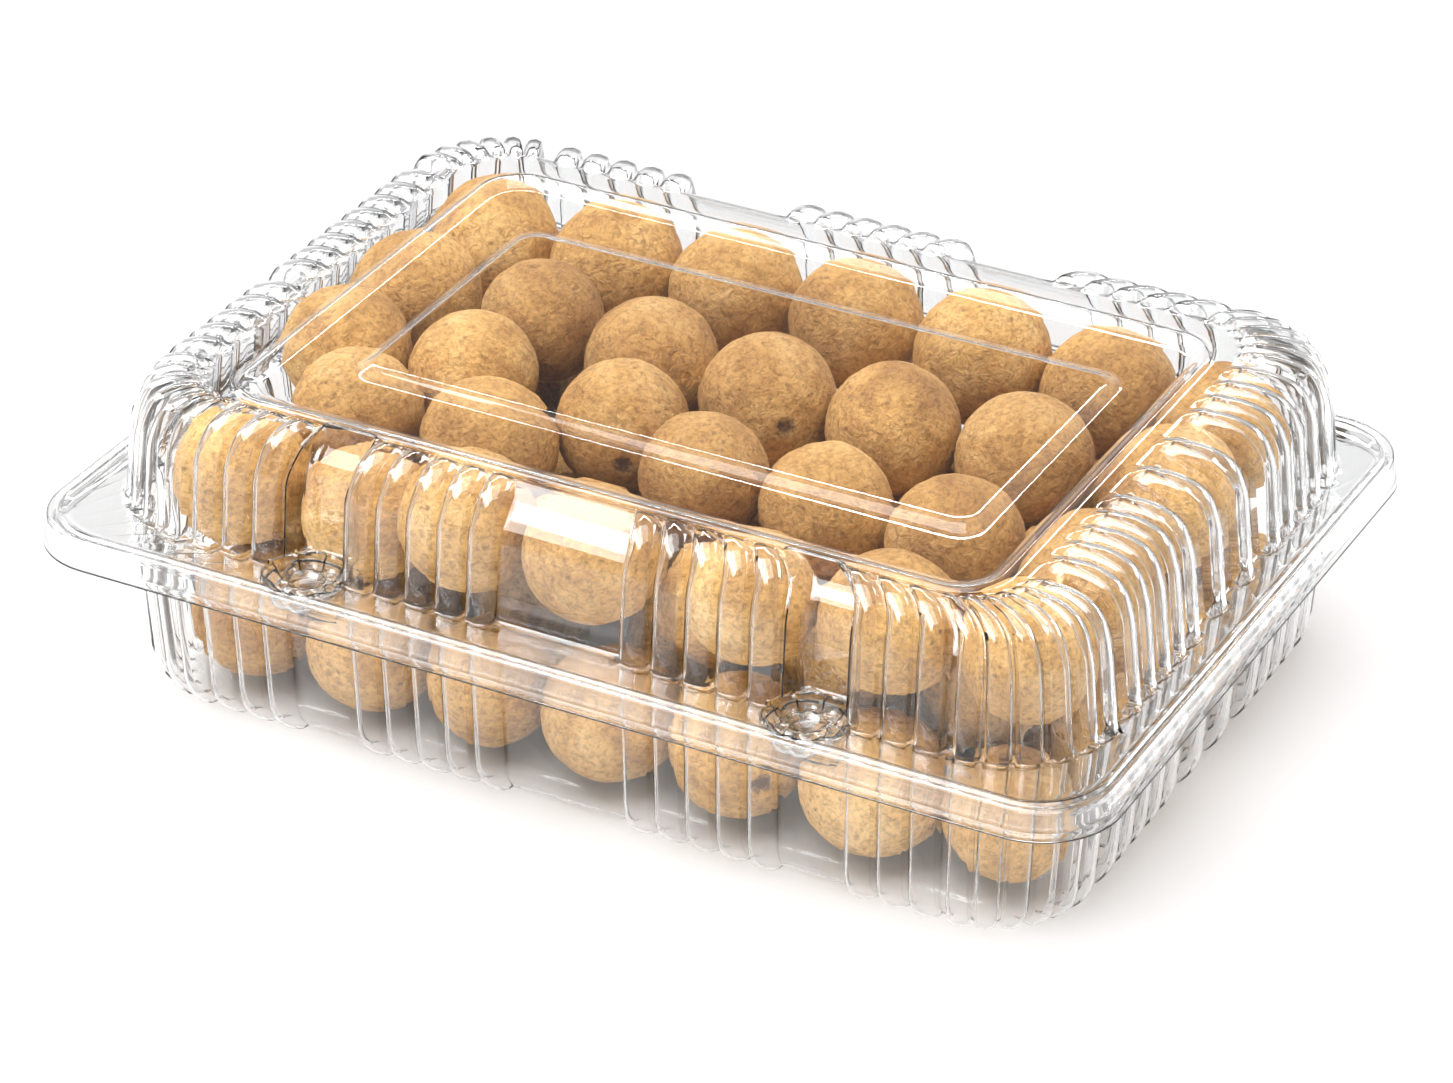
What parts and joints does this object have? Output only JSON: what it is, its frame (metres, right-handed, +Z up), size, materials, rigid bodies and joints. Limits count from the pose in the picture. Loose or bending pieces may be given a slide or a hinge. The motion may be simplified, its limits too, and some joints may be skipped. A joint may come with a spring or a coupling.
{
  "type": "hinged clear clamshell box packed with longans",
  "caption": "Clear fluted clamshell box with a hinged snap lid, packed with loose round longans.",
  "frame": {"origin": "centre of the overall box in plan, at the surface that the tray stands on", "axes": "+X along the long side, +Y from the snap-button side to the hinge, +Z up"},
  "size_m": [0.2218, 0.1588, 0.0648],
  "materials": {
    "clear_pet": "clear, glossy thermoformed sheet",
    "longan_skin": "dry, matt, thin leathery rind"
  },
  "bodies": {
    "filled_tray": {"tray": "clear_pet", "longan_01": "longan_skin", "longan_02": "longan_skin", "longan_03": "longan_skin", "longan_04": "longan_skin", "longan_05": "longan_skin", "longan_06": "longan_skin", "longan_07": "longan_skin", "longan_08": "longan_skin", "longan_09": "longan_skin", "longan_10": "longan_skin", "longan_11": "longan_skin", "longan_12": "longan_skin", "longan_13": "longan_skin", "longan_14": "longan_skin", "longan_15": "longan_skin", "longan_16": "longan_skin", "longan_17": "longan_skin", "longan_18": "longan_skin", "longan_19": "longan_skin", "longan_20": "longan_skin", "longan_21": "longan_skin", "longan_22": "longan_skin", "longan_23": "longan_skin", "longan_24": "longan_skin", "longan_25": "longan_skin", "longan_26": "longan_skin", "longan_27": "longan_skin", "longan_28": "longan_skin", "longan_29": "longan_skin", "longan_30": "longan_skin", "longan_31": "longan_skin", "longan_32": "longan_skin", "longan_33": "longan_skin", "longan_34": "longan_skin", "longan_35": "longan_skin", "longan_36": "longan_skin", "longan_37": "longan_skin", "longan_38": "longan_skin", "longan_39": "longan_skin", "longan_40": "longan_skin", "longan_41": "longan_skin", "longan_42": "longan_skin", "longan_43": "longan_skin", "longan_44": "longan_skin", "longan_45": "longan_skin", "longan_46": "longan_skin", "longan_47": "longan_skin", "longan_48": "longan_skin", "buried_longans": "longan_skin"},
    "lid": {"lid": "clear_pet"}
  },
  "joints": [
    {"name": "lid_hinge", "type": "hinge", "parent": "filled_tray", "child": "lid", "pos_m": [0, 0.0797, 0.0349], "axis": [-1, 0, 0], "range_deg": [0, 180]}
  ]
}
